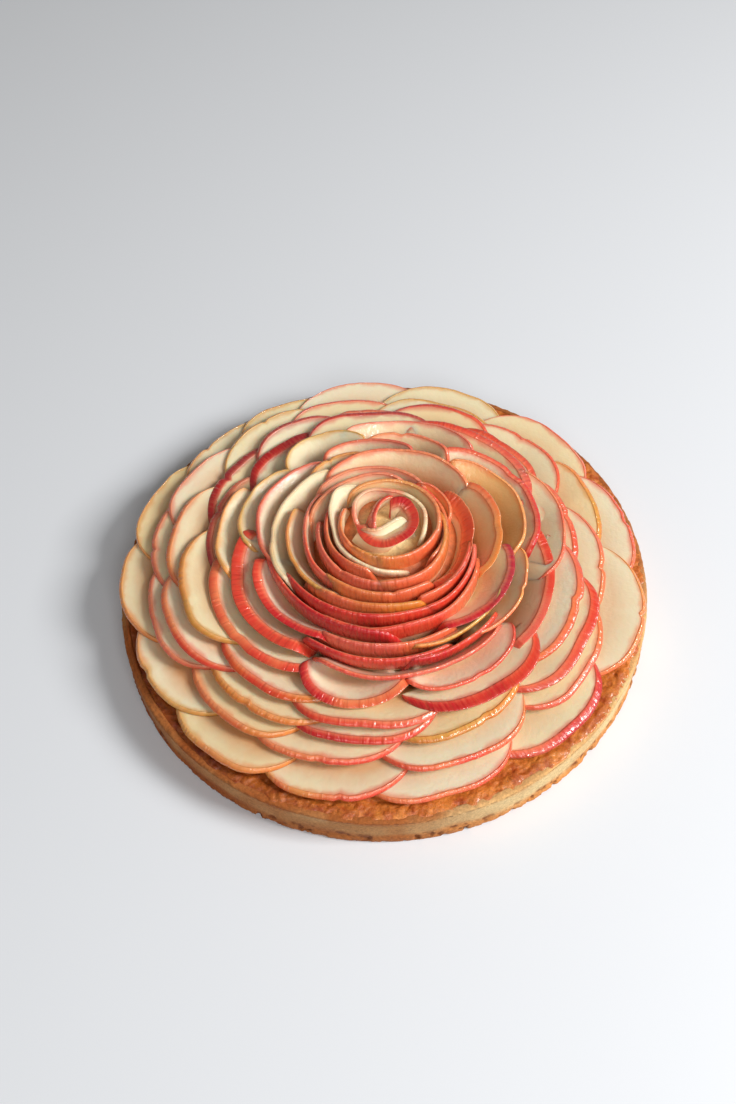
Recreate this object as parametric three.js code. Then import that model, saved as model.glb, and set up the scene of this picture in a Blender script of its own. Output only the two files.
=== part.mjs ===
// Apple rose tart, in millimetres, +Z up, origin at the centre of its underside.
// A straight-sided shortcrust shell, baked in a 22 cm ring, holds an almond filling that comes level
// with its rim. Thin half-moon apple slices, skin edge outwards, lie on the filling in rings. Each slice
// overlaps the next one round, each ring overlaps the one outside it, and the rings lean up more and
// more steeply towards a rose in the middle.
import * as THREE from "three";

// Driving dimensions
const crustRadius = 110;
const crustHeight = 16.5;
const wallAtFoot = 4.2; // thickness of the crust's wall
const wallAtRim = 2.6;
const floorThickness = 4;
const clearance = 0.3; // kept between pieces that touch
const sliceThickness = 2;
const halfChord = 30.5; // half the length of a slice's cut edge, on a 65 mm apple
const sliceDepth = 22; // from the cut edge to the skin
const outerCentre = new THREE.Vector2(-1, 2.5); // the outermost slices ring this point
const roseCentre = new THREE.Vector2(4, 2.5); // the rose stands a little off the shell's middle
const outerRing = 106.5; // radius of the outermost skin edges
const outerHeight = 19.6;
const domeHeight = 56.2;

const turn = 2 * Math.PI;
const degrees = Math.PI / 180;
const layer = sliceThickness + clearance;
const { clamp, smoothstep } = THREE.MathUtils;

// The skin edges lie on a dome, which is steeper towards its foot
const dome = (radius) => domeHeight - (domeHeight - outerHeight) * (radius / outerRing) ** 1.3;

// Middle of a ring of skin edges: it moves from the shell's middle to the rose's as the rings close in
const ringCentre = (radius) => outerCentre.clone().lerp(roseCentre, clamp(1 - (radius - 45) / 60, 0, 1));

// The laid rings from the outside in: the radius of the cone they lie on, its lean from the horizontal,
// and each slice's bearing, in degrees counter-clockwise from +X, with the radius its skin reaches
const rings = [
  {
    cone: 105,
    lean: 7,
    slices: [
      [8, 107.5], [37, 105.5], [68, 104], [92, 105], [112, 103], [134, 104], [156, 107],
      [181, 108], [205, 105], [229, 106], [256, 106], [281, 106], [311, 107], [342, 109],
    ],
  },
  {
    cone: 95,
    lean: 10.7,
    slices: [
      [17, 96], [41, 92], [68, 91], [97, 92], [121, 95], [147, 97], [168, 97],
      [192, 96], [225, 93], [251, 94], [285, 97], [327, 97], [355, 92],
    ],
  },
  {
    cone: 86,
    lean: 15,
    slices: [
      [10, 81], [47, 81], [66, 86], [94, 82], [112, 84], [142, 83],
      [168, 89], [198, 91], [230, 86], [260, 85], [290, 87], [328, 91],
    ],
  },
  {
    cone: 78,
    lean: 18.5,
    slices: [
      [10, 73], [55, 72], [91, 77], [122, 74], [160, 75],
      [194, 83], [228, 78], [262, 80], [300, 81], [335, 83],
    ],
  },
];

// A repeatable unevenness between -1 and 1
const uneven = (...seeds) => {
  const golden = [0.618034, 0.754878, 0.56984];
  const sum = seeds.reduce((total, seed, place) => total + (seed + 1) * golden[place], 0);
  return 2 * (sum - Math.floor(sum)) - 1;
};

// Degrees from one slice of a ring to the next, counter-clockwise with way 1 and clockwise with way -1
const spacing = (ring, number, way) => {
  const all = rings[ring].slices;
  const wrapped = (place) => all[((place % all.length) + all.length) % all.length][0];
  return (way * (wrapped(number + way) - wrapped(number)) + 360) % 360;
};

// How many places, whole or in part, lie between a slice and a bearing so many degrees away from it
const placesAway = (ring, number, away) => {
  const way = away < 0 ? -1 : 1;
  const first = spacing(ring, number, way);
  const rest = Math.abs(away) - first;
  return way * (rest < 0 ? 1 + rest / first : 1 + rest / spacing(ring, number + way, way));
};

// How high a slice rides so many places from its middle: half a layer up where it covers the next
// slice, half a layer down where the one before covers it, and a ramp between
const coverage = 0.8; // of the way to the next slice, that a cut edge may reach
const rideHeight = (places) => layer * clamp(places / (2 * (1 - coverage)), -0.5, 0.5);

function solid(points, faces) {
  const geometry = new THREE.BufferGeometry();
  geometry.setAttribute("position", new THREE.Float32BufferAttribute(points, 3));
  geometry.setIndex(faces);
  return geometry;
}

// A closed solid between two strips of points: over(i, j) lies above under(i, j), with i from 0 to 1
// along the strip and j, 0 or 1, across it
function slab(columns, over, under) {
  const points = [];
  const faces = [];
  for (let column = 0; column <= columns; column++) {
    const i = column / columns;
    points.push(...over(i, 0), ...over(i, 1), ...under(i, 1), ...under(i, 0));
  }
  for (let column = 0; column < columns; column++) {
    const here = 4 * column;
    for (let side = 0; side < 4; side++) {
      const next = (side + 1) % 4;
      faces.push(here + side, here + next, here + 4 + next, here + side, here + 4 + next, here + 4 + side);
    }
  }
  const end = 4 * columns;
  faces.push(0, 2, 1, 0, 3, 2, end, end + 1, end + 2, end, end + 2, end + 3);
  return solid(points, faces);
}

// A body of revolution whose profile changes with the bearing. outline(bearing) gives the same number
// of (radius, height) points each time, from the axis at the bottom round to the axis at the top.
function turned(segments, outline) {
  const profiles = [];
  for (let s = 0; s < segments; s++) {
    profiles.push(outline((s / segments) * turn));
  }
  const inner = profiles[0].length - 2;
  const points = [0, 0, profiles[0][0].y, 0, 0, profiles[0][inner + 1].y];
  profiles.forEach((profile, s) => {
    const bearing = (s / segments) * turn;
    for (const p of profile.slice(1, -1)) {
      points.push(p.x * Math.cos(bearing), p.x * Math.sin(bearing), p.y);
    }
  });
  const faces = [];
  const at = (s, p) => 2 + (s % segments) * inner + p;
  for (let s = 0; s < segments; s++) {
    faces.push(0, at(s + 1, 0), at(s, 0));
    faces.push(1, at(s, inner - 1), at(s + 1, inner - 1));
    for (let p = 0; p < inner - 1; p++) {
      faces.push(at(s, p), at(s + 1, p), at(s + 1, p + 1), at(s, p), at(s + 1, p + 1), at(s, p + 1));
    }
  }
  return solid(points, faces);
}

const point = (radius, height) => new THREE.Vector2(radius, height);

// Crust: a flat floor and a straight wall, smooth where the ring held it, thinner towards its rounded
// rim, with a foot that spread a little under the ring
const footSpread = 0.7;
const insideAtRim = crustRadius - footSpread - wallAtRim;
const insideAtFloor = crustRadius - footSpread - wallAtFoot;
const rimWave = (bearing) => 0.12 * Math.sin(5 * bearing) + 0.08 * Math.sin(11 * bearing + 1);
const sunk = (bearing) => 1.6 * smoothstep(Math.cos(bearing - 125 * degrees), -0.2, 0.6); // the rim's low side

function crustGeometry() {
  const rimRound = 0.9;
  const footHeight = 1.4;
  return turned(72, (bearing) => {
    const outer = crustRadius - footSpread + rimWave(bearing);
    const top = crustHeight + rimWave(bearing) - sunk(bearing);
    return [
      point(0, 0),
      point(crustRadius - footHeight, 0),
      point(crustRadius, footHeight),
      point(outer, 3 * footHeight),
      point(outer, top - rimRound),
      point(outer - rimRound, top),
      point(insideAtRim, top - 0.3),
      point(insideAtFloor, floorThickness),
      point(0, floorThickness),
    ];
  });
}

// The filling's upper side: level with the rim, pressed down under the outer slices, then a mound that
// carries the cut edges of the rings further in
const fillingHeight = (radius) => {
  const pressed = 2.2 * smoothstep(106 - radius, 0, 10);
  const mound = 6.5 * smoothstep(72 - radius, 0, 30);
  return crustHeight - 0.4 - pressed + mound;
};

function fillingGeometry() {
  const atRim = insideAtRim - clearance;
  const atFloor = insideAtFloor - clearance;
  const steps = [atRim - 0.5, 104, 101, 98, 94, 72, 66, 60, 54, 48, 42];
  return turned(60, (bearing) => {
    const grain = (radius) => 0.2 * Math.sin(7 * bearing + radius) * Math.sin(13 * bearing - radius);
    const dip = (radius) => sunk(bearing) * smoothstep(radius, 98, 106);
    return [
      point(0, floorThickness + clearance),
      point(atFloor, floorThickness + clearance),
      point(atRim, fillingHeight(atRim) - sunk(bearing)),
      ...steps.map((radius) => point(radius, fillingHeight(radius) + grain(radius) - dip(radius))),
      point(0, fillingHeight(0)),
    ];
  });
}

// Where a point of a flat slice comes to lie. across runs along its cut edge, up from the cut edge to
// the skin, lift off its middle plane. The slice is rolled onto its ring's cone and then takes its ride
// over the next slice round.
function laid(ring, number, across, up, lift) {
  const { cone, slices } = rings[ring];
  const lean = rings[ring].lean * degrees;
  const fromApex = cone / Math.cos(lean) - sliceDepth + up;
  const slant = Math.hypot(across, fromApex);
  const away = Math.atan2(across, fromApex) / Math.cos(lean);
  const bearing = slices[number][0] * degrees + away;
  const offCone = rideHeight(placesAway(ring, number, away / degrees)) + lift;
  const radius = slant * Math.cos(lean) - offCone * Math.sin(lean);
  const apexHeight = dome(cone) - cone * Math.tan(lean);
  const height = apexHeight + slant * Math.sin(lean) + offCone * Math.cos(lean);
  const centre = ringCentre(cone);
  return [centre.x + radius * Math.cos(bearing), centre.y + radius * Math.sin(bearing), height];
}

// One half-moon slice, cut end to end through an apple: a straight cut edge, rounded corners and a
// skin edge that slopes as the side of the apple does, so that the skin shows from above. Slices that
// lie close together are shorter, and those whose skin stops short of the cone's radius are narrower.
function sliceGeometry(ring, number) {
  const { cone, slices } = rings[ring];
  const lean = rings[ring].lean * degrees;
  const further = slices[number][1] - cone;
  const slide = Math.max(further, 0);
  const cutFromApex = cone / Math.cos(lean) - sliceDepth;
  const depth = sliceDepth + Math.min(further, 0);
  const skinWidth = 1.5;
  const half = (way) => {
    const widest = coverage * spacing(ring, number, way) * degrees * Math.cos(lean);
    return Math.min(halfChord + 0.8 * uneven(ring, number, 2), cutFromApex * Math.tan(widest));
  };
  const skin = (part) => depth * Math.max(0, 1 - Math.abs(part) ** 2.4) ** 0.55;
  const cut = (part) => 0.25 * depth * Math.abs(part) ** 8;
  const surface = (lift, inset) => (i, j) => {
    const part = 0.985 * Math.sin((i - 0.5) * Math.PI);
    const low = cut(part);
    const high = Math.max(skin(part) - inset, low + 1);
    return laid(ring, number, part * half(Math.sign(part)), (j ? high : low) + slide, lift);
  };
  return slab(10, surface(sliceThickness / 2, skinWidth), surface(-sliceThickness / 2, 0));
}

// The rose: the steeper slices in the middle as one solid, out to their skin edges. Each turn of them is
// a ridge of scallops, one for each slice, with a groove inside it.
const roseEdge = 72.5;
const turnSpacing = 5.2; // from one ridge to the next
const turns = 12;
const slope = (radius) => (82 / (1 + Math.exp((radius - 66) / 9.5)) + 4) * degrees;

function roseGeometry() {
  const seatHeight = fillingHeight(0) + clearance;
  const seatRadius = 36;
  const underside = 0.9;
  const undercut = 20; // how far the lowest turn overhangs
  const lean = rings.at(-1).lean * degrees;
  return turned(48, (bearing) => {
    const scallop = (radius) => {
      const slices = Math.round(3 + 0.09 * radius);
      const size = 0.4 + 0.018 * radius;
      return size * (2 * Math.abs(Math.cos(0.5 * slices * bearing + 1.9 * radius)) - 1);
    };
    const drift = (radius) => (ringCentre(radius).x - roseCentre.x) * Math.cos(bearing);
    const wide = 2 * Math.cos(bearing + 50 * degrees);
    const edge = roseEdge + wide + drift(roseEdge) + scallop(roseEdge) - 1;
    const edgeHeight = dome(roseEdge);
    const outline = [
      point(0, seatHeight),
      point(seatRadius, seatHeight),
      point(edge - undercut * Math.cos(lean), edgeHeight - undercut * Math.sin(lean) - underside),
      point(edge, edgeHeight - 0.9),
    ];
    for (let number = 0; number < turns; number++) {
      const radius = roseEdge - turnSpacing * number;
      const share = radius / roseEdge;
      const ridge = radius + drift(radius) + wide * share ** 3 + scallop(radius) - 1.5;
      const groove = radius + drift(radius) - 0.7 * turnSpacing;
      outline.push(point(ridge, dome(radius) + 0.4));
      outline.push(point(Math.min(groove, ridge - 0.8), dome(radius) - 0.5 - 3.5 * Math.sin(slope(radius))));
    }
    const inner = roseEdge - turnSpacing * turns;
    outline.push(point(inner, dome(inner) + 0.8));
    outline.push(point(0, dome(inner) - 4));
    return outline;
  });
}

const finish = (color, roughness) => new THREE.MeshStandardMaterial({ color, roughness, metalness: 0 });
const crustFinish = finish(0xd9a35c, 0.85);
const fillingFinish = finish(0xa8571d, 0.45);
const appleFinish = finish(0xeadbb4, 0.4);
const roseFinish = finish(0xd9836a, 0.4);

function piece(name, geometry, material) {
  const mesh = new THREE.Mesh(geometry, material);
  mesh.name = name;
  return mesh;
}

const tart = new THREE.Group();
tart.add(piece("crust", crustGeometry(), crustFinish));
tart.add(piece("filling", fillingGeometry(), fillingFinish));
for (let ring = 0; ring < rings.length; ring++) {
  for (let number = 0; number < rings[ring].slices.length; number++) {
    const label = String(number + 1).padStart(2, "0");
    tart.add(piece(`ring${ring + 1}_slice${label}`, sliceGeometry(ring, number), appleFinish));
  }
}
const rose = piece("rose", roseGeometry(), roseFinish);
rose.position.set(roseCentre.x, roseCentre.y, 0);
tart.add(rose);

export default tart;
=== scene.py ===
import math
from itertools import product

import bpy
import numpy as np
from mathutils import Matrix, Vector


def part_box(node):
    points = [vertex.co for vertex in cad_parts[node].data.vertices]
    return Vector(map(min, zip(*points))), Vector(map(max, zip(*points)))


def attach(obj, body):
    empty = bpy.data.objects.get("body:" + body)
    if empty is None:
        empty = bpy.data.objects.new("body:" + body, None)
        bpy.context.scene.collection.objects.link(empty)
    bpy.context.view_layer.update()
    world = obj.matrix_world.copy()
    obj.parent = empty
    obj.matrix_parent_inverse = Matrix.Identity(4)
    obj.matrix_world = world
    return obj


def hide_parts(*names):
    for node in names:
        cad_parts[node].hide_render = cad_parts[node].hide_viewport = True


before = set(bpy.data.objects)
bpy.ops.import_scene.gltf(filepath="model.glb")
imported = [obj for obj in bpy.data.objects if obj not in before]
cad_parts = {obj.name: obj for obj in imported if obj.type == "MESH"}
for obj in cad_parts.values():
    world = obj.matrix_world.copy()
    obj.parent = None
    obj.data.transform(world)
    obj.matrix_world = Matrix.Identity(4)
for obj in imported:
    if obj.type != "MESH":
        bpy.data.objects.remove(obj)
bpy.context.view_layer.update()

# The view: a tart on a table, seen from standing height across the table's edge. The camera is half a
# metre off and tipped a little to one side. Lengths in this section and the next are in metres.
camera_place = Vector((0, -0.2851, 0.4349))
camera_aim = Vector((-0.0054, 0.0245, 0))
camera_tip = math.radians(-4.2)
ahead = (camera_aim - camera_place).normalized()
across = ahead.cross(Vector((0, 0, 1))).normalized()
above = across.cross(ahead)
right = math.cos(camera_tip) * across + math.sin(camera_tip) * above
up = math.cos(camera_tip) * above - math.sin(camera_tip) * across
camera_turn = Matrix((right, up, -ahead)).transposed().to_4x4()
camera_data = bpy.data.cameras.new("camera")
camera_data.sensor_width = 36
camera_data.lens = 39.5
camera_data.clip_start = 0.01
camera_data.clip_end = 20
camera = bpy.data.objects.new("camera", camera_data)
camera.matrix_world = Matrix.Translation(camera_place) @ camera_turn
bpy.context.scene.collection.objects.link(camera)
bpy.context.scene.camera = camera
bpy.context.scene.view_settings.view_transform = "Standard"

# The light: a window close by on the tart's right, a weaker one in front, and a pale room all round.
# The table is a sheet of smooth white laminate.
middle_of_tart = (0, 0, 0.02)


def window(name, place, size, power, colour):
    """A rectangular soft light of a width and height, set at a place and facing the tart."""
    lamp = bpy.data.lights.new(name, "AREA")
    lamp.shape = "RECTANGLE"
    lamp.size, lamp.size_y = size
    lamp.energy = power
    lamp.color = colour
    light = bpy.data.objects.new(name, lamp)
    light.location = place
    light.rotation_euler = (Vector(middle_of_tart) - Vector(place)).to_track_quat("-Z", "Y").to_euler()
    bpy.context.scene.collection.objects.link(light)


window("window_light", (1.12, -0.3, 0.92), (0.5, 0.6), 23, (1.0, 0.975, 0.94))
window("front_light", (0.2, -1.2, 1.1), (0.9, 0.7), 9, (1.0, 0.98, 0.96))

room = bpy.data.worlds.new("pale_room")
room.use_nodes = True
room_glow = room.node_tree.nodes["Background"]
room_glow.inputs["Color"].default_value = (1.0, 0.95, 0.88, 1)
room_glow.inputs["Strength"].default_value = 0.16
bpy.context.scene.world = room

half_table = 1.5
table_gap = 0.0002
table_corners = [(-half_table, -half_table, 0), (half_table, -half_table, 0),
                 (half_table, half_table, 0), (-half_table, half_table, 0)]
table_mesh = bpy.data.meshes.new("tabletop")
table_mesh.from_pydata(table_corners, [], [(0, 1, 2, 3)])
tabletop = bpy.data.objects.new("tabletop", table_mesh)
tabletop.location.z = -table_gap
laminate = bpy.data.materials.new("white_laminate")
laminate.use_nodes = True
laminate_shader = laminate.node_tree.nodes["Principled BSDF"]
laminate_shader.inputs["Base Color"].default_value = (0.80, 0.84, 0.90, 1)
laminate_shader.inputs["Roughness"].default_value = 0.45
table_mesh.materials.append(laminate)
bpy.context.scene.collection.objects.link(tabletop)

# Crust: a straight-sided shortcrust shell, baked in a ring. Its wall is smooth and pale where the ring
# held it, crumbly and brown along the foot, and browned on the rim. From here on, shapes are worked
# out in millimetres and put in metres as each mesh is made.
mm = 0.001
turn = 2 * math.pi
crust_low, crust_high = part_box("crust")
radius = (crust_high[0] - crust_low[0]) / 2 / mm
crust_height = crust_high[2] / mm

# The smooth wall and rim stand a little inside the shell's full size, which leaves the crumbs room.
wall_inset = 0.7
crumb_limit = 0.68
rim_drop = 0.25
rim_round = 1.1
foot_height = 5.5
wall_steps = np.array([0, 0.35, 0.7, 1.05, 1.4, *np.linspace(1.9, 6.0, 10),
                       *np.linspace(6.8, crust_height - 1.6, 11)])
crust_bearings = np.linspace(0, turn, 1080, endpoint=False)


def value_noise(places, seed=0):
    """Random values from -1 to 1 at whole-numbered places, joined by smooth cubic steps between them.
    The values come from multiplying and shifting the whole numbers, so each is the same every time."""
    cell = np.floor(places).astype(np.int64)
    part = places - cell
    part = part * part * (3 - 2 * part)
    total = np.zeros(places.shape[:-1])
    for corner in product((0, 1), repeat=3):
        mixed = (cell + corner) @ np.array([374761393, 668265263, 1440662683]) + seed * 97531
        mixed = (mixed ^ (mixed >> 13)) * 1274126177 & 0x7FFFFFFF
        value = ((mixed ^ (mixed >> 16)) & 0xFFFF) / 0xFFFF
        total += value * np.prod(np.where(corner, part, 1 - part), axis=-1)
    return 2 * total - 1


def crumble(places, size, octaves=3, seed=0):
    """Value noise at a grain size and at halves of it, each half as strong as the one before."""
    layers = [value_noise(places * 2 ** k / size, seed + k) / 2 ** k for k in range(octaves)]
    return sum(layers) / (2 - 0.5 ** (octaves - 1))


def smooth_step(low, high, value):
    """0 below low, 1 above high, and a cubic S between."""
    part = np.clip((value - low) / (high - low), 0, 1)
    return part * part * (3 - 2 * part)


def ring_grid(profile_radius, profile_height, bearings):
    """Points of a profile of radii and heights, carried round the upright axis to each bearing."""
    across = profile_radius * np.cos(bearings)[:, None]
    away = profile_radius * np.sin(bearings)[:, None]
    return np.stack([across, away, np.broadcast_to(profile_height, across.shape)], axis=-1)


def round_faces(rings, points):
    """Quads between neighbouring bearings and neighbouring points of a profile, closed all round."""
    ring, point = np.meshgrid(np.arange(rings), np.arange(points - 1), indexing="ij")
    following = (ring + 1) % rings
    corners = [ring * points + point, following * points + point,
               following * points + point + 1, ring * points + point + 1]
    return np.stack(corners, axis=-1).reshape(-1, 4)


def add_piece(name, points, faces, material, replaced):
    """A smooth mesh piece from points in millimetres, riding on the tart and standing for CAD nodes."""
    mesh = bpy.data.meshes.new(name)
    mesh.from_pydata(points.reshape(-1, 3) * mm, [], faces.tolist())
    mesh.validate()
    mesh.shade_smooth()
    mesh.materials.append(material)
    piece = bpy.data.objects.new(name, mesh)
    bpy.context.scene.collection.objects.link(piece)
    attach(piece, "root")
    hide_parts(*replaced)
    return piece


def new_material(name):
    """A new material, with its node tree and its Principled shader."""
    material = bpy.data.materials.new(name)
    material.use_nodes = True
    return material, material.node_tree, material.node_tree.nodes["Principled BSDF"]


def add_node(tree, kind, values=None, **settings):
    """A shader node with its settings and its input values, a value being a constant or a socket."""
    node = tree.nodes.new(kind)
    for key, value in settings.items():
        setattr(node, key, value)
    for key, value in (values or {}).items():
        if isinstance(value, bpy.types.NodeSocket):
            tree.links.new(value, node.inputs[key])
        else:
            node.inputs[key].default_value = value
    return node


def remap(tree, value, low, high, at_low, at_high, **settings):
    """A value carried from one range to another, and held at its ends."""
    limits = {"Value": value, "From Min": low, "From Max": high, "To Min": at_low, "To Max": at_high}
    return add_node(tree, "ShaderNodeMapRange", limits, **settings).outputs[0]


def mix_colours(tree, share, first, second, **settings):
    """The first colour, with a share of the second laid over it."""
    values = {"Factor": share, "A": first, "B": second}
    return add_node(tree, "ShaderNodeMix", values, data_type="RGBA", **settings).outputs["Result"]


def sunken(bearings):
    """How far the tart has sunk at each bearing: 1.6 mm towards the back left, nothing opposite."""
    return 1.6 * smooth_step(-0.2, 0.6, np.cos(bearings - math.radians(125)))[:, None]


def crust_grid():
    """Radii and heights out along the underside, up the wall, over the rim and down its inside, pushed
    in and out by crumbly noise that is strongest along the foot."""
    arc = np.linspace(0, math.pi / 2, 6)
    rim_top = crust_height - rim_drop
    outer = radius - wall_inset
    profile_radius = np.concatenate([
        [0.0, 60.0, 100.0, radius - 2.0, radius - 1.2],
        np.full(len(wall_steps), outer), outer - rim_round * (1 - np.cos(arc)),
        outer - np.array([1.6, 2.2, 2.9, 3.3, 4.0])])
    profile_height = np.concatenate([
        [0.0, 0.0, 0.0, 0.0, 0.12], wall_steps + 0.45, rim_top - rim_round * (1 - np.sin(arc)),
        rim_top - np.array([0.0, 0.1, 0.3, 1.2, 5.0])])
    places = ring_grid(profile_radius, profile_height, crust_bearings)
    height = places[..., 2]
    shown = (profile_radius > radius - 2.6) & (profile_height > 0)
    foot_top = foot_height + 2.5 * value_noise(places * [0.05, 0.05, 0], 5)
    foot = 1 - smooth_step(2.0, foot_top, height)
    rim = smooth_step(crust_height - 2.2, crust_height - 0.4, height)
    rough = crumble(places, 1.6, 4, 1)
    lumps = value_noise(places * [0.14, 0.14, 0.3], 9)
    wander = value_noise(places * [0.03, 0.03, 0], 3)
    flake = np.clip(crumble(places, 2.6, 2, 21), 0.1, 1) - 0.1
    outward = (0.10 * rough + 0.12 * lumps + foot * (0.6 * rough + 0.6 - 2.6 * flake)
               + rim * (0.22 * rough) + 0.25 * wander)
    outward = np.minimum(outward, crumb_limit) * shown
    direction = np.stack([np.cos(crust_bearings), np.sin(crust_bearings)], axis=-1)[:, None, :]
    sunk = sunken(crust_bearings) * smooth_step(9, 15, height)
    places[..., :2] += outward[..., None] * direction
    places[..., 2] += (rim * (0.25 * rough - 0.1) - sunk) * shown
    return places


def linear(*srgb):
    """Linear light values of a colour given as 0-255 screen values."""
    value = np.array(srgb) / 255
    return np.where(value < 0.04045, value / 12.92, ((value + 0.055) / 1.055) ** 2.4)


def blend(share, first, second):
    """A mix of two colours at each share from 0 to 1."""
    return first + (second - first) * share[..., None]


def facing(places, bearing, spread):
    """1 on the side of the tart at a bearing in degrees, easing to 0 at the spread on either side."""
    away = np.degrees(np.arctan2(places[..., 1], places[..., 0])) - bearing
    return smooth_step(spread, 0.35 * spread, np.abs((away + 180) % 360 - 180))


def crust_colours(places):
    """Pale where the ring held the wall, orange-brown along the foot, browned on the rim. Painted light
    makes the front right pale gold, facing the window; painted shade darkens the left and the foot's
    dents.
    """
    height = places[..., 2] + 2.2 * value_noise(places * [0.09, 0.09, 0.1], 61)
    # Painted shade at the left, away from the window, and painted light at the front right, facing it.
    shaded_side = np.clip(facing(places, 195, 70) + 0.35 * value_noise(places / 9, 62), 0, 1)
    lit_side = np.clip(facing(places, 318, 52) + 0.3 * value_noise(places / 7, 63), 0, 1)
    wall = blend(lit_side, linear(182, 128, 76), linear(222, 194, 142))
    foot = blend(lit_side, linear(168, 98, 46), linear(216, 146, 80))
    rim = blend(lit_side, linear(168, 96, 44), linear(220, 174, 114))
    colour = blend(smooth_step(8.0, 3.5, height), wall, foot)
    colour = blend(smooth_step(13.4, 16.4, height), colour, rim)
    # Painted shade: darker brown in the dents pushed into the foot, with the same noise that pushed
    # them in.
    shaded_dents = smooth_step(0.16, 0.4, crumble(places, 2.6, 2, 21)) * smooth_step(7.5, 4.5, height)
    colour = blend(0.8 * shaded_dents, colour, linear(112, 58, 26))
    return blend(shaded_side, colour, colour * np.array([0.9, 0.72, 0.56]))


# Crust, filling and stewed apple are all mottled by a fine grain, which also roughens them: noise
# lightens and darkens the tint, and the same noise is the height of their bumps.
grain = bpy.data.node_groups.new("baked_grain", "ShaderNodeTree")
for socket, way, kind in [("Tint", "INPUT", "Color"), ("Scale", "INPUT", "Float"),
                          ("Color", "OUTPUT", "Color"), ("Height", "OUTPUT", "Float")]:
    grain.interface.new_socket(socket, in_out=way, socket_type="NodeSocket" + kind)
given = add_node(grain, "NodeGroupInput").outputs
coordinates = add_node(grain, "ShaderNodeTexCoord").outputs["Object"]
grains = add_node(grain, "ShaderNodeTexNoise", {"Vector": coordinates, "Scale": given["Scale"],
                                                "Detail": 5, "Roughness": 0.7}).outputs[0]
speckle = remap(grain, grains, 0.30, 0.62, 0.66, 1.12)
mottled = mix_colours(grain, 1.0, given["Tint"], speckle, blend_type="MULTIPLY")
add_node(grain, "NodeGroupOutput", {"Color": mottled, "Height": grains})


def grained_material(name, roughness, grain_size, bump_depth):
    """A grained material that takes its colour from the mesh's tint, and its Principled shader."""
    material, tree, shader = new_material(name)
    tint = add_node(tree, "ShaderNodeAttribute", attribute_name="tint").outputs["Color"]
    grained = add_node(tree, "ShaderNodeGroup", {"Tint": tint, "Scale": 1 / grain_size},
                       node_tree=grain).outputs
    bump = add_node(tree, "ShaderNodeBump", {"Strength": 0.6, "Distance": bump_depth,
                                             "Height": grained["Height"]}).outputs[0]
    tree.links.new(grained["Color"], shader.inputs["Base Color"])
    tree.links.new(bump, shader.inputs["Normal"])
    shader.inputs["Roughness"].default_value = roughness
    return material, shader


def set_tint(piece, colours):
    """A colour for each point of a piece's mesh."""
    values = np.concatenate([colours, np.ones(colours.shape[:-1] + (1,))], axis=-1)
    attribute = piece.data.attributes.new("tint", "FLOAT_COLOR", "POINT")
    attribute.data.foreach_set("color", values.astype(np.float32).reshape(-1))


baked, shader = grained_material("baked_shortcrust", 0.75, 0.0011, 0.0004)
shader.inputs["Specular IOR Level"].default_value = 0.3
places = crust_grid()
faces = round_faces(*places.shape[:2])
crust_shell = add_piece("crust_shell", places, faces, baked, ["crust"])
set_tint(crust_shell, crust_colours(places))

# Filling: coarse almond paste, baked to a glossy rust-brown crust of grains. It spreads over the rim
# at the front and right, lies inside it at the left, and has puffed up in a lump at the back right.
paste_level = 14.0
paste_steps = np.concatenate([[0.2, 40, 70], np.linspace(84, 96, 10), np.linspace(96.5, 109.0, 34)])
paste_bearings = np.linspace(0, turn, 1300, endpoint=False)
lump_bearing = math.radians(53)
lump_place = np.array([94.5 * math.cos(lump_bearing), 97 * math.sin(lump_bearing)])
lump_height = 4.6


def filling_grid():
    """Radii and heights from the middle out to the wavering edge on the rim, then closed underneath.
    The top dips a little inside the rim, and has a lump, coarse grains and pits."""
    places = ring_grid(paste_steps, np.full_like(paste_steps, paste_level), paste_bearings)
    covering = 1 - facing(places[:, -1], 180, 75)
    edge = 106.2 + 2.5 * covering + 0.55 * crumble(places[:, -1] * [1, 1, 0], 7, 3, 71)
    spread = 1 + (edge[:, None] / paste_steps[-1] - 1) * smooth_step(96, 109, paste_steps)
    places[..., :2] *= spread[..., None]
    from_middle = np.hypot(places[..., 0], places[..., 1])
    height = crust_height - 0.5 - sunken(paste_bearings) - 1.1 * smooth_step(105.5, 98, from_middle)
    height += 0.55 * smooth_step(0, 3.0, edge[:, None] - from_middle) * covering[:, None]
    off_lump = np.hypot(*np.moveaxis(places[..., :2] - lump_place, -1, 0))
    height += lump_height * smooth_step(9.5, 2.5, off_lump + 1.2 * value_noise(places / 3, 75))
    grains = 0.42 * crumble(places * [1, 1, 0], 1.7, 2, 72)
    waves = 0.5 * value_noise(places * [0.16, 0.16, 0], 73)
    pits = np.clip(crumble(places * [1, 1, 0], 2.4, 2, 74) - 0.3, 0, 1)
    height += grains + waves - pits
    height[:, -1] -= 0.5
    places[..., 2] = height
    beneath = ring_grid(np.array([104.0, 0.2]), np.array([6.0, 6.0]), paste_bearings)
    return np.concatenate([places, beneath], axis=1)


def filling_colours(places):
    """Rust-brown mottled with gold, and painted shade that makes it nearly black-red at the left, away
    from the window.
    """
    mottle = np.clip(0.5 + 0.8 * crumble(places * [1, 1, 0.3], 3.2, 3, 76), 0, 1)
    colour = blend(mottle, linear(172, 72, 20), linear(234, 144, 60))
    # Painted shade: the left lies in the shadow of the slices.
    left_shade = facing(places, 200, 75)
    return blend(left_shade, colour, colour * np.array([0.5, 0.36, 0.24]))


paste, shader = grained_material("baked_almond_paste", 0.42, 0.0008, 0.0006)
shader.inputs["Coat Weight"].default_value = 0.4
shader.inputs["Coat Roughness"].default_value = 0.1
places = filling_grid()
faces = round_faces(*places.shape[:2])[:, ::-1]
almond_filling = add_piece("almond_filling", places, faces, paste, ["filling"])
set_tint(almond_filling, filling_colours(places))

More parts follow.
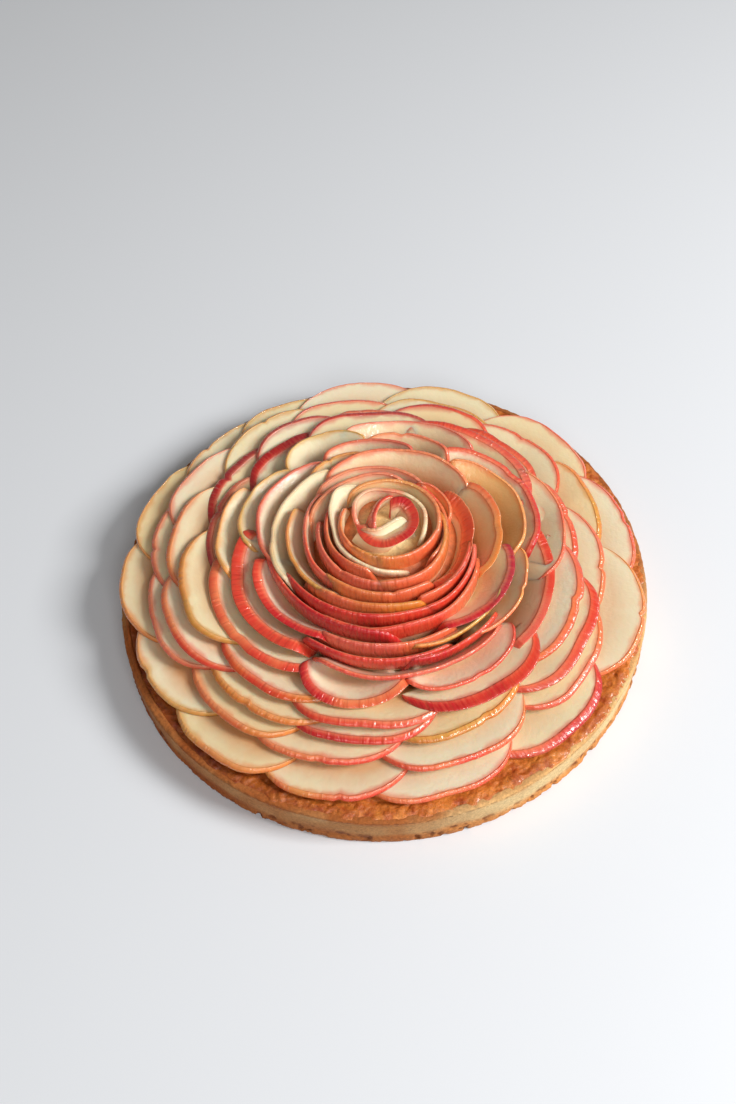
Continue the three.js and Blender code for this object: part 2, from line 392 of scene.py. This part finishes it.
# Apple slices: half-moons 2 mm thick, cut end to end from red-and-yellow apples with their skins on.
# They lie in rings on a dome, each ring over the last, flat at the tart's edge and steeper towards
# the middle. A ring's slices are joined in one piece.
outer_centre = np.array([-1.0, 2.5])
rose_centre = np.array([4.0, 2.5])
slice_thickness = 2.0
slice_depth = 22.0
half_chord = 30.5
nick_depth = 1.3
nick_width = 0.07
outer_ring = 106.5
outer_ring_height = 19.6
dome_height = 56.2
along_points = 49
skin_points = 6

# Each ring from the outside in: the radius of its cone, the cone's lean in degrees, then its slices,
# each with the bearing and radius of its skin's peak and the colours its skin runs between. Capitals
# are for skins that face up, and ^ is for a slice whose clockwise end lies on its neighbour.
rings = [
    (105, 7, [
        (8, 107.5, "r"), (37, 105.5, "pr"), (68, 104, "y"), (92, 105, "p"), (112, 103, "y"),
        (134, 104, "yg"), (156, 107, "yg"), (181, 108, "ga"), (205, 105, "ay"), (229, 106, "ya"),
        (256, 106, "gr"), (281, 106, "or"), (311, 107, "PC"), (342, 109, "oa")]),
    (95, 10.7, [
        (17, 96, "ya"), (41, 92, "r^"), (68, 91, "y"), (97, 92, "pr"), (121, 95, "y"),
        (147, 97, "p"), (168, 97, "p"), (192, 96, "rp"), (225, 93, "oa"), (251, 94, "or"),
        (287, 97, "ro"), (325, 97, "po"), (355, 92, "op")]),
    (86, 15, [
        (10, 81, "rp"), (47, 81, "PR"), (66, 86, "rc"), (94, 82, "p"), (112, 84, "m"), (142, 83, "MC"),
        (168, 89, "ao"), (198, 91, "or"), (230, 86, "ga"), (260, 85, "cr"), (290, 87, "yg"),
        (328, 91, "PR")]),
    (78, 18.5, [
        (10, 73, "po"), (55, 72, "r"), (91, 77, "mc"), (122, 74, "MC"), (160, 75, "pm"),
        (189, 83.5, "gy"), (228, 78, "rg"), (262, 80, "rp"), (300, 81, "CR^"), (335, 83, "op")])]


def uneven(*seeds):
    """A value from -1 to 1 that is always the same for the same few whole numbers: each is counted
    from one and multiplied by a share of its own, and their sum loses its whole part."""
    part = sum((seed + 1) * share for seed, share in zip(seeds, (0.618034, 0.754878, 0.56984)))
    return 2 * (part % 1) - 1


def dome(from_centre):
    """Height of the slices' skins over the table at a distance from the middle of the rose, falling
    away from the dome's top as that distance to the power 1.3."""
    return dome_height - (dome_height - outer_ring_height) * (from_centre / outer_ring) ** 1.3


def outline(part, depth, full, blunt, seed):
    """Height of a slice's curved side over its cut edge at parts of its half-length, -1 to 1: the depth
    times 1 less the part to the power full, the whole to the power blunt. That is a blunt arch, and it
    leans to one side, has the knife's waver, and on some slices a small nick."""
    leaning = part + 0.12 * uneven(seed, 7) * (1 - part ** 2)
    tall = depth * np.clip(1 - np.abs(leaning) ** full, 0, 1) ** blunt
    wave = np.stack([part * 30, np.full_like(part, seed * 7.7), np.zeros_like(part)], axis=-1)
    waver = 0.35 * value_noise(wave / 9, 2) + 0.14 * value_noise(wave / 2.6, 3)
    tall += waver * np.sqrt(1 - part ** 2)
    if uneven(seed, 31) > 0.35:
        tall -= nick_depth * np.clip(1 - np.abs(part - 0.5 * uneven(seed, 32)) / nick_width, 0, 1)
    return np.maximum(tall, 0)


def sections(tall, thick, skin_width, upper_in, lower_in):
    """Closed section loops of a slice: up its upper face, over its skin, and down its lower face to the
    straight cut edge. Gives how far up its plane and off it each point is, and how far in from the
    skin's edge, negative on the skin. upper_in and lower_in set each face's rim back. Where the lower
    rim isn't set back the skin goes straight through with a slight bulge, and where it is, the skin
    rounds under as a quarter of an ellipse: a cosine of its share down and a sine of it through."""
    upper_share = np.array([0, 0.15, 0.35, 0.55, 0.72, 0.85, 0.93, 0.98, 1.0])
    lower_share = upper_share[::-1]
    skin_share = np.linspace(0, 1, skin_points + 2)[1:-1]
    tall = tall[:, None]
    upper_in = np.minimum(upper_in, 0.5 * tall)
    lower_in = np.minimum(lower_in, 0.5 * tall)
    bulge = 0.25 * thick * np.sin(math.pi * skin_share)
    rounded = min(float(np.max(lower_in)) / thick, 1)
    fall = skin_share + rounded * (1 - np.cos(math.pi / 2 * skin_share) - skin_share)
    through = skin_share + rounded * (np.sin(math.pi / 2 * skin_share) - skin_share)
    up_on = np.concatenate([
        (tall - upper_in) * upper_share,
        tall - upper_in * (1 - skin_share) - lower_in * fall + bulge * np.minimum(tall, 1),
        (tall - lower_in) * lower_share], axis=1)
    off = np.concatenate([
        np.full(len(upper_share), thick / 2), thick / 2 - thick * through,
        np.full(len(lower_share), -thick / 2)])
    rind = np.concatenate([
        (tall - upper_in) * (1 - upper_share),
        np.broadcast_to(-skin_width * skin_share, (len(tall), skin_points)),
        (tall - lower_in) * (1 - lower_share)], axis=1)
    return up_on, np.broadcast_to(off, up_on.shape), rind


def section_faces(count, loop):
    """Quads between neighbouring sections, round each section's closed loop, faces outwards."""
    section, point = np.meshgrid(np.arange(count - 1), np.arange(loop), indexing="ij")
    following = (point + 1) % loop
    corners = [section * loop + point, section * loop + following,
               (section + 1) * loop + following, (section + 1) * loop + point]
    return np.stack(corners, axis=-1).reshape(-1, 4)


def bend(points):
    """The heap pushed about a little by slow noise, so that no ring is a true circle."""
    moved = points.copy()
    moved[..., 0] += 1.1 * value_noise(points / 34, 41)
    moved[..., 1] += 1.1 * value_noise(points / 34, 42)
    moved[..., 2] += 0.7 * value_noise(points / [26, 26, 60], 43) - 0.3
    return moved


def ring_centre(ring_radius):
    """Middle of a ring: the outer ones round the tart's middle, the inner ones round the rose's."""
    share = np.clip(1 - (ring_radius - 45) / 60, 0, 1)
    return outer_centre + (rose_centre - outer_centre) * share


def gap(row, number, way):
    """Angle from a slice to its neighbour, anticlockwise where way is 1, clockwise where it is -1."""
    return math.radians((row[(number + way) % len(row)][0] - row[number][0]) * way % 360)


def lap(row, number):
    """1 where a slice's clockwise end goes under its neighbour, and -1 where it lies on it."""
    return -1 if row[number % len(row)][2].endswith("^") else 1


def ring_slice(ring, number, seed):
    """A slice wrapped on its ring's cone, slid along it to its radius, one end riding over the next
    slice: a point's slant from the cone's tip gives its radius and height, and its angle is spread by
    the cone's opening. A slice reaches a little past its neighbours' middles and no further."""
    cone_radius, lean, row = rings[ring]
    angle = math.radians(lean)
    steep = math.sin(angle)
    peak_bearing, peak_radius, colours = row[number]
    thick = slice_thickness - 0.1 * steep
    from_apex = cone_radius / math.cos(angle) - slice_depth + (peak_radius - cone_radius)
    part = np.sin(np.linspace(-1, 1, along_points) * math.pi / 2)
    reaches = [min(math.tan(min(1.1 * gap(row, number, way) * math.cos(angle), 1.4)) * from_apex,
                   half_chord + 1.2 * uneven(seed, 2)) for way in (-1, 1)]
    along = np.where(part < 0, part * reaches[0], part * reaches[1])
    full = 2.6 + 0.4 * uneven(seed, 5) + 1.0 * steep ** 2
    tall = outline(part, slice_depth, full, 0.58 - 0.08 * steep, seed)
    upper_in = 1.0 + 0.4 * ring + 0.4 * uneven(seed, 8) + 1.6 * colours.isupper()
    up_on, off, rind = sections(tall, thick, upper_in + 1.0, upper_in, 0.0)
    along = np.broadcast_to(along[:, None], up_on.shape)
    outward = from_apex + up_on
    slant = np.hypot(along, outward)
    away = np.arctan2(along, outward) / math.cos(angle)
    places = np.where(away < 0, away / gap(row, number, -1), away / gap(row, number, 1))
    ride = np.where(away < 0, lap(row, number), lap(row, number + 1)) * np.clip(places, -1.15, 1.15)
    off_cone = off + (thick + 0.1) * ride
    reach = slant * math.cos(angle) - off_cone * math.sin(angle)
    base = dome(cone_radius) - cone_radius * math.tan(angle)
    height = base + slant * math.sin(angle) + off_cone * math.cos(angle)
    bearing = math.radians(peak_bearing) + away
    centre = ring_centre(cone_radius)
    across = centre[0] + reach * np.cos(bearing)
    back = centre[1] + reach * np.sin(bearing)
    return bend(np.stack([across, back, height], axis=-1)), rind, along, up_on


# What the apple material reads from a slice's mesh: rind is the distance in from the skin's edge, in
# millimetres and negative on the skin, place is where on its slice a point lies, tint is its skin's
# colour, with the strength of the shade painted on the slice as its alpha, and tone is its flesh, pale
# to amber.
apple, tree, shader = new_material("apple_slice")
rind = add_node(tree, "ShaderNodeAttribute", attribute_name="rind").outputs["Fac"]
place = add_node(tree, "ShaderNodeAttribute", attribute_name="place").outputs["Vector"]
tone = add_node(tree, "ShaderNodeAttribute", attribute_name="tone").outputs["Fac"]
painted = add_node(tree, "ShaderNodeAttribute", attribute_name="tint").outputs
tint = painted["Color"]
# The tint's alpha is the strength of the shade painted on the slice.
shade_depth = painted["Alpha"]
on_skin = remap(tree, rind, 0.1, 0.5, 1.0, 0.0)


def add_ramp(tree, factor, *stops):
    """A colour ramp over factor, from (position, colour) stops."""
    ramp = add_node(tree, "ShaderNodeValToRGB", {"Fac": factor})
    elements = ramp.color_ramp.elements
    while len(elements) < len(stops):
        elements.new(0.5)
    for element, (position, colour) in zip(elements, stops):
        element.position = position
        element.color = (*colour, 1)
    return ramp.outputs["Color"]


def calculate(tree, operation, *values):
    """The result of one step of arithmetic on its values, each a constant or a socket."""
    return add_node(tree, "ShaderNodeMath", dict(enumerate(values)), operation=operation).outputs[0]


def noise(tree, place, scale, detail, squeeze=None):
    """Soft noise over a slice, drawn out from skin to core where its depth is squeezed to a share."""
    if squeeze:
        place = add_node(tree, "ShaderNodeVectorMath", {0: place, 1: (1.0, squeeze, 1.0)},
                         operation="MULTIPLY").outputs[0]
    values = {"Vector": place, "Scale": scale, "Detail": detail}
    return add_node(tree, "ShaderNodeTexNoise", values).outputs[0]


# The flesh is cream to amber by its tone. Far in from the skin, where it runs down under the next
# slice, it is painted orange-brown: painted shade with reddish bounced light, more where more shade is
# painted.
# Close to the skin its colour has bled into the flesh, 1 to 4 mm deep, with a fainter flush four times
# as deep that is also stronger where more shade is painted.
cream = add_ramp(tree, tone, (0.0, linear(242, 232, 204)), (0.5, linear(240, 225, 184)),
                 (0.8, linear(238, 206, 150)), (1.0, linear(238, 190, 116)))
far_in = remap(tree, rind, 3.5, 11.5, 0.0, 0.8)
# Painted shade far in from the skin, scaled by the strength of the painted shade.
crevice_shade = calculate(tree, "MULTIPLY", far_in, calculate(tree, "MULTIPLY_ADD", shade_depth, 0.85, 0.15))
flesh = mix_colours(tree, crevice_shade, cream, (*linear(204, 120, 38), 1))
bleed_reach = remap(tree, noise(tree, place, 0.11, 3), 0.35, 0.65, 1.2, 3.8)
bleed_part = calculate(tree, "DIVIDE", rind, bleed_reach)
flush = calculate(tree, "MULTIPLY", remap(tree, bleed_part, 0.0, 4.0, 0.24, 0.0), shade_depth)
flushed = mix_colours(tree, flush, flesh, tint)
bleed = remap(tree, bleed_part, 0.0, 1.0, 0.66, 0.0, interpolation_type="SMOOTHSTEP")
blushed = mix_colours(tree, bleed, flushed, tint)

# The skin has paler streaks across it. Painted shade darkens it away from its upper edge, down towards
# the next slice, less in red than in green and blue. A thin pale line along that edge, where the knife
# left it, is partly a painted highlight on the rounded top.
streak_share = remap(tree, noise(tree, place, 1.1, 4, 0.14), 0.45, 0.75, 0.0, 0.26)
streaked = mix_colours(tree, streak_share, tint, (*linear(244, 150, 96), 1))
# Painted shade towards the skin's foot, where it meets the next slice.
shade_red = remap(tree, rind, -2.6, -0.3, 0.8, 1.04)
shade_rest = remap(tree, rind, -2.6, -0.3, 0.55, 1.04)
skin_foot_shade = add_node(tree, "ShaderNodeCombineColor",
                {"Red": shade_red, "Green": shade_rest, "Blue": shade_rest}).outputs[0]
skin_foot_shade_share = remap(tree, shade_depth, 0.3, 1.0, 1.0, 0.6)
skin_foot_shaded = mix_colours(tree, skin_foot_shade_share, streaked, skin_foot_shade, blend_type="MULTIPLY")
# Pale line at the cut edge, partly a painted highlight.
cut_edge_and_highlight = calculate(tree, "MULTIPLY", remap(tree, rind, -1.1, -0.1, 0.0, 0.36), shade_depth)
skinned = mix_colours(tree, cut_edge_and_highlight, skin_foot_shaded, (*linear(252, 200, 150), 1))
tree.links.new(mix_colours(tree, on_skin, blushed, skinned), shader.inputs["Base Color"])

# Both are moist and let light in. The syrup is a clear coat, thicker on the skin, and it and the
# slice share one relief: ridges on the skin and a drier, finer unevenness on the flesh.
shader.inputs["Roughness"].default_value = 0.38
shader.inputs["Coat Roughness"].default_value = 0.08
shader.inputs["Subsurface Weight"].default_value = 0.45
shader.inputs["Subsurface Scale"].default_value = 0.003
shader.inputs["Subsurface Radius"].default_value = (1.0, 0.6, 0.4)
tree.links.new(remap(tree, on_skin, 0, 1, 0.35, 1.0), shader.inputs["Coat Weight"])
ridges = noise(tree, place, 0.6, 2, 0.18)
dried = calculate(tree, "MULTIPLY", noise(tree, place, 0.55, 3), 0.25)
relief = add_node(tree, "ShaderNodeMix", {"Factor": on_skin, "A": dried, "B": ridges}).outputs["Result"]
for bumped, strength, bump_depth in [("Normal", 0.8, 0.0008), ("Coat Normal", 1.0, 0.0013)]:
    values = {"Strength": strength, "Distance": bump_depth, "Height": relief}
    tree.links.new(add_node(tree, "ShaderNodeBump", values).outputs[0], shader.inputs[bumped])

# The skins' colours by letter, from yellow through orange and red to a dull plum, then a bleached one.
# A skin of one colour has patches of another.
skins = {
    "y": linear(216, 166, 76), "g": linear(226, 150, 54), "a": linear(236, 150, 74),
    "o": linear(238, 124, 78), "p": linear(236, 114, 94), "r": linear(232, 76, 54),
    "c": linear(210, 33, 43), "m": linear(184, 44, 66), "w": linear(242, 224, 190)}
patched_with = {
    "y": "g", "g": "o", "a": "y", "o": "a", "p": "o", "r": "o", "c": "r", "m": "p", "w": "y"}
# Factors that multiply the skins' colours. The rings' deepen them towards orange.
ring_skin_factor = np.array([0.97, 0.84, 0.64])


def add_slices(name, slices, skin_factor, replaced):
    """Slices joined in one piece, with what the apple material reads. Each of the slices comes as its
    points, rind, along and up arrays, the one or two colours its skin runs between, its flesh's tone,
    how strong the shade painted on it is, and a seed. A factor multiplies all their skins' colours."""
    values = {"points": [], "rind": [], "tint": [], "place": [], "tone": []}
    faces = []
    start = 0
    for (points, rind, along, up_on), colours, tone, shade_depth, seed in slices:
        count, loop = along.shape
        faces.append(section_faces(count, loop) + start)
        start += count * loop
        seeds = np.full_like(along, 13.7 * seed)
        drift = value_noise(np.stack([along / 9, seeds, 0 * seeds], axis=-1), 4)
        if len(colours) == 2:
            share = smooth_step(-0.5, 0.5, along / np.max(along) + 0.7 * drift)[..., None]
        else:
            colours += patched_with[colours]
            share = np.clip(0.15 + 0.5 * drift, 0, 0.55)[..., None]
        tint = (skins[colours[0]] * (1 - share) + skins[colours[1]] * share) * skin_factor
        values["points"].append(points.reshape(-1, 3))
        values["rind"].append(rind.reshape(-1))
        values["tint"].append(np.concatenate([tint, np.full_like(share, shade_depth)], axis=-1).reshape(-1, 4))
        values["place"].append(np.stack([along, up_on, seeds], axis=-1).reshape(-1, 3))
        values["tone"].append(np.full(count * loop, tone))
    piece = add_piece(name, np.concatenate(values["points"]), np.concatenate(faces), apple,
                      replaced)
    kinds = {"rind": ("FLOAT", "value"), "tone": ("FLOAT", "value"), "tint": ("FLOAT_COLOR", "color"),
             "place": ("FLOAT_VECTOR", "vector")}
    for key, (kind, field) in kinds.items():
        attribute = piece.data.attributes.new(key, kind, "POINT")
        attribute.data.foreach_set(field, np.concatenate(values[key]).astype(np.float32).reshape(-1))


# The rings get the most painted shade at the left, away from the window. A slice's flesh is a tone of
# its own, and its seed keeps its waver and its patches its own.
far_from_light = 205
for ring, (_, _, row) in enumerate(rings):
    slices = []
    for number, (bearing, _, colours) in enumerate(row):
        seed = 17 * ring + number
        tone = 0.35 + 0.3 * uneven(number, ring, 11)
        shade_depth = 0.3 + 0.6 * max(math.cos(math.radians(bearing - far_from_light)), 0)
        slices.append((ring_slice(ring, number, seed), colours.strip("^").lower(), tone, shade_depth, seed))
    nodes = [f"ring{ring + 1}_slice{number + 1:02d}" for number in range(len(row))]
    add_slices(f"apple_ring_{ring + 1}", slices, ring_skin_factor, nodes)

# The rose: longer, thinner slices in a spiral that steepens to upright round its middle. Each runs
# along a rim of its own, opening outwards or closing in, and its plane hangs from the rim. Its outer
# slices, its middle ones and its heart are each joined in one piece.
# The rose's skins are painted lighter than the rings', as painted light on its brightly lit heart.
rose_skin_lift = np.array([1.06, 1.03, 1.0])
steep_lean = 30
rim_overrun = 1.3
end_dip = 12
heart_reach = 33
heart_slice_depth = 15.0

# A row is a slice's bearings from end to end, the distance of its rim from the rose's middle at its
# clockwise end, middle and other end, its lean in degrees, its skin's colours and width, and its
# flesh's tone from pale at 0 to amber at 1. Capitals are again for skins that face up. Steep slices
# are blunter and get more painted shade.
rose = {
    "rose_outer": [
        (-18, 34, 69, 76, 71, 25, "ro", 2.0, 0.3), (12, 80, 64, 73.5, 69, 26, "PR", 3.4, 0.6),
        (-6, 62, 61.5, 64.2, 53, 38, "CR", 1.9, 0.3), (48, 106, 64, 68.5, 62.5, 34, "cp", 1.6, 0.5),
        (94, 136, 57, 67, 62.5, 28, "y", 1.6, 0.2), (132, 180, 57.5, 64.3, 57.5, 36, "y", 1.8, 0.1),
        (148, 188, 70, 71.2, 66, 34, "ag", 2.4, 0.2), (176, 242, 70.5, 73, 67, 28, "OR", 3.4, 0.2),
        (168, 234, 58.5, 64.5, 60.5, 36, "RR", 5.0, 0.1), (233, 276, 65, 73.6, 65, 24, "CO", 3.2, 0.1),
        (272, 322, 65.5, 72, 66.5, 27, "rc", 2.2, 0.1), (314, 364, 71.5, 70.8, 63, 38, "PR", 3.6, 0.3),
        (240, 316, 61, 63, 61, 54, "rp", 6.0, 0.1)],
    "rose_middle": [
        (-14, 54, 53, 58.2, 46.5, 40, "ao", 2.0, 0.9), (54, 98, 50.5, 57.3, 54.5, 50, "ro", 1.6, 0.5),
        (72, 120, 45.5, 53.5, 52, 56, "cr", 1.6, 0.2), (118, 196, 51, 55.8, 48, 46, "cr", 2.4, 0.1),
        (100, 138, 43, 48, 44.5, 60, "g", 1.6, 0.4), (184, 240, 53.5, 56.6, 53, 46, "RC", 3.4, 0.0),
        (274, 318, 57, 57.8, 56, 70, "cr", 8, 0.2), (231, 293, 56.8, 57.2, 55.4, 71, "cr", 9.5, 0.2),
        (235, 298, 51.6, 51.8, 50.2, 77, "po", 10, 0.2), (302, 354, 58, 60.6, 56, 38, "oa", 3.4, 0.3),
        (276, 328, 53, 54.6, 52.4, 50, "ay", 6.0, 0.1), (291, 354, 49.5, 53, 50, 36, "CM", 3.0, 0.4),
        (-34, 38, 42, 45, 41.5, 50, "AO", 2.6, 0.6), (30, 130, 42, 42.8, 40, 54, "or", 1.8, 0.4),
        (122, 208, 41.5, 47.5, 47, 54, "w", 2.0, 0.2), (183, 268, 50, 47.5, 47, 80, "rc", 9, 0.2)],
    "rose_heart": [
        (230, 340, 47, 44.6, 37.8, 81, "ro", 9, 0.3), (199, 296, 46, 42, 39.3, 81, "cr", 8.5, 0.2),
        (284, 346, 39.5, 38.4, 35, 78, "rp", 8, 0.3), (156, 234, 42.5, 41.6, 38.5, 56, "g", 3.5, 0.2),
        (212, 288, 40, 37.4, 36.8, 82, "og", 8, 0.3), (284, 348, 35.5, 35.2, 33.5, 80, "or", 8.5, 0.4),
        (300, 398, 33, 33.6, 29, 60, "RO", 6.6, 0.6), (140, 238, 34.5, 35, 33, 79, "pr", 8, 0.3),
        (216, 300, 34, 33, 31, 83, "ao", 8.5, 0.4), (40, 142, 22.5, 31, 36.5, 60, "p", 1.6, 0.3),
        (60, 166, 21, 28, 33.5, 64, "po", 1.8, 0.4), (168, 274, 29, 29, 28, 83, "po", 9, 0.4),
        (252, 376, 29, 26, 21.8, 83, "oa", 9, 0.5), (-22, 134, 20, 20.6, 23, 74, "oa", 2.2, 0.6),
        (0, 60, 26, 27, 24.5, 60, "or", 5.0, 1.0), (222, 366, 17.8, 18.6, 21.4, 86, "ao", 8.0, 0.8),
        (150, 262, 20, 19.5, 18.5, 84, "oa", 8.0, 0.5), (-50, 70, 24, 24, 22.5, 72, "or", 7.0, 0.6),
        (150, 250, 26.5, 25.5, 24.5, 82, "ro", 8.0, 0.4)]}


def petal(rim, tops, angle, skin_width, upper_in, depth, seed):
    """A slice hung from a rim: rim holds points from one end to the other on the ground, tops their
    heights. Its plane goes down and in from the rim at the lean, square to the rim's direction. A wide
    skin that doesn't face up is set back below, so that it rounds under."""
    direction = np.gradient(rim, axis=0)
    length = np.hypot(direction[:, 0], direction[:, 1])
    outward = np.stack([direction[:, 1], -direction[:, 0]], axis=-1) / length[:, None]
    walked = np.concatenate([[0], np.cumsum(np.hypot(*np.diff(rim, axis=0).T))])
    part = 2 * walked / walked[-1] - 1
    sway = np.stack([walked / 17, np.full_like(walked, seed * 3.3), np.zeros_like(walked)], axis=-1)
    rim = rim + 0.6 * value_noise(sway, 51)[:, None] * outward
    tops = tops + 0.9 * value_noise(sway, 52)
    angle = np.broadcast_to(angle, walked.shape)[:, None]
    full = 7 if angle[0] > math.radians(steep_lean) else 4.5
    tall = outline(part, depth, full + uneven(seed, 5), 0.5, seed)
    lower_in = 0.3 if upper_in > 1 else 0.92 * skin_width
    thick = 1.9 + 0.14 * max(skin_width - 3, 0)
    up_on, off, rind = sections(tall, thick, skin_width, upper_in, lower_in)
    along = np.broadcast_to((walked - walked[-1] / 2)[:, None], up_on.shape)
    down = depth - up_on
    moved = -down * np.cos(angle) - off * np.sin(angle)
    height = tops[:, None] - down * np.sin(angle) + off * np.cos(angle)
    ground = rim[:, None, :] + moved[..., None] * outward[:, None, :]
    return bend(np.concatenate([ground, height[..., None]], axis=-1)), rind, along, up_on


def rose_petal(row, seed):
    """A petal whose rim runs at its row's three distances from the rose's middle, on the dome, and on
    past both ends, where it dips out of sight: the distance is the parabola through the three."""
    start, end, first, between, last, lean, colours, skin_width, _ = row
    part = rim_overrun * np.sin(np.linspace(-1, 1, along_points) * math.pi / 2)
    distance = between + part * (last - first) / 2 + part ** 2 * ((first + last) / 2 - between)
    bearing = np.radians((start + end) / 2 + part * (end - start) / 2)
    centre = ring_centre(distance[:, None])
    rim = centre + distance[:, None] * np.stack([np.cos(bearing), np.sin(bearing)], axis=-1)
    upper_in = 0.9 * skin_width if colours.isupper() else 0.9
    depth = slice_depth if between > heart_reach else heart_slice_depth
    tops = dome(distance) - end_dip * smooth_step(0.9, rim_overrun, np.abs(part))
    return petal(rim, tops, math.radians(lean), skin_width, upper_in, depth, seed)


for group, (name, rows) in enumerate(rose.items()):
    petals = []
    for number, row in enumerate(rows):
        seed = 100 + 40 * group + number
        lean, colours, _, tone = row[5:]
        # Painted shade: more on the steep slices.
        shade_depth = 0.75 if lean > steep_lean else 0.4
        petals.append((rose_petal(row, seed), colours.lower(), tone, shade_depth, seed))
    add_slices(name, petals, rose_skin_lift, ["rose"])

# The bud: the last few slices rolled round each other. The outermost ends in a broad red lip with an
# amber bowl inside it, one turns in over the bowl, and a pale one stands across its front.
bud_points = 81
bud_slice_depth = 14.0
# The bud's slices get the full painted shade.
bud_shade_depth = 1.0

# A row is a slice's rim as points round the rose's middle, its heights at both ends, its leans in
# degrees spread evenly along it, its skin's width, how far the skin's rim is set back, its skin's
# colours and its flesh's tone.
bud = [
    ([(-14, 5), (-14, -1), (-8, -10.3), (0, -12.8), (9, -8.5), (12.4, 0), (9, 9.6),
      (2, 12.4), (-2, 11)],
     (51.5, 55.5), (64, 26, 42, 56), 3.8, 4.0, "rc", 0.7),
    ([(4, 12), (-2, 9), (-5, 4), (-5.6, -1), (-4, -5)], (54.5, 54.5), (108, 108), 7.0, 0.5, "rp", 0.1),
    ([(-10.5, 0), (-7.5, -3), (-4, -3.3), (0, -1), (3.5, 1), (7, 3)],
     (52.5, 54.0), (128, 124), 0.8, 0.4, "ow", 0.2),
    ([(12, -11), (14.2, -4), (14.2, 5), (9, 12.6), (1, 16), (-7, 16), (-12.3, 11),
      (-13.2, 4), (-10, -2)],
     (50.5, 53), (76, 86), 1.2, 0.4, "wp", 0.3),
    ([(-5, 19), (-12, 21.5), (-20.5, 18), (-24, 9), (-23.7, 0), (-21, -10), (-14, -18),
      (-4, -23.5), (9, -23)],
     (51.5, 50.5), (50, 68), 6.0, 0.8, "ww", 0.1)]


def smooth_curve(points, count):
    """Points along a smooth curve through a few given ones, closer together towards its ends: between
    two of them it is the cubic whose slope at each is that from the one before it to the one after."""
    points = np.array(points, dtype=float)
    place = (np.sin(np.linspace(-1, 1, count) * math.pi / 2) + 1) / 2 * (len(points) - 1)
    start = np.minimum(place.astype(int), len(points) - 2)
    part = (place - start)[:, None]
    padded = np.concatenate([2 * points[:1] - points[1:2], points, 2 * points[-1:] - points[-2:-1]])
    before, first, second, after = (padded[start + k] for k in range(4))
    return 0.5 * (2 * first + (second - before) * part
                  + (2 * before - 5 * first + 4 * second - after) * part ** 2
                  + (3 * first - before - 3 * second + after) * part ** 3)


petals = []
for number, (curve, (first, last), leans, skin_width, upper_in, colours, tone) in enumerate(bud):
    seed = 300 + number
    rim = rose_centre + smooth_curve(curve, bud_points)
    tops = np.linspace(first, last, bud_points)
    lean = np.interp(np.linspace(0, 1, bud_points), np.linspace(0, 1, len(leans)), leans)
    shape = petal(rim, tops, np.radians(lean), skin_width, upper_in, bud_slice_depth, seed)
    petals.append((shape, colours, tone, bud_shade_depth, seed))
add_slices("rose_bud", petals, rose_skin_lift, ["rose"])

# Between and under the petals the rose is a mound of slices cooked soft: cream in the bud's bowl and
# orange round it. Further out, where little of it shows, it is painted nearly black rust-brown as the
# shade in the gaps between the petals.
stewed, _ = grained_material("stewed_apple", 0.5, 0.0025, 0.0006)
from_middle = np.concatenate([[0.2], np.linspace(2, 44, 22), np.linspace(48, 88, 11)])
raised = 4 * smooth_step(36, 24, from_middle) - 4.5 * smooth_step(17, 9, from_middle)
heights = np.maximum(dome(from_middle) - 8 - 0.22 * from_middle + raised, paste_level)
mound = ring_grid(from_middle, heights, np.linspace(0, turn, 96, endpoint=False))
mound += np.array([*rose_centre, 0])
faces = round_faces(*mound.shape[:2])[:, ::-1]
stewed_mound = add_piece("stewed_mound", mound, faces, stewed, ["rose"])
bowl_share = np.broadcast_to(smooth_step(10, 16, from_middle), mound.shape[:2])
# Painted shade in the gaps between the petals.
gap_shade_share = np.broadcast_to(smooth_step(28, 44, from_middle), mound.shape[:2])
inner = blend(bowl_share, linear(242, 214, 156), linear(206, 112, 62))
set_tint(stewed_mound, blend(gap_shade_share, inner, linear(84, 30, 12)))
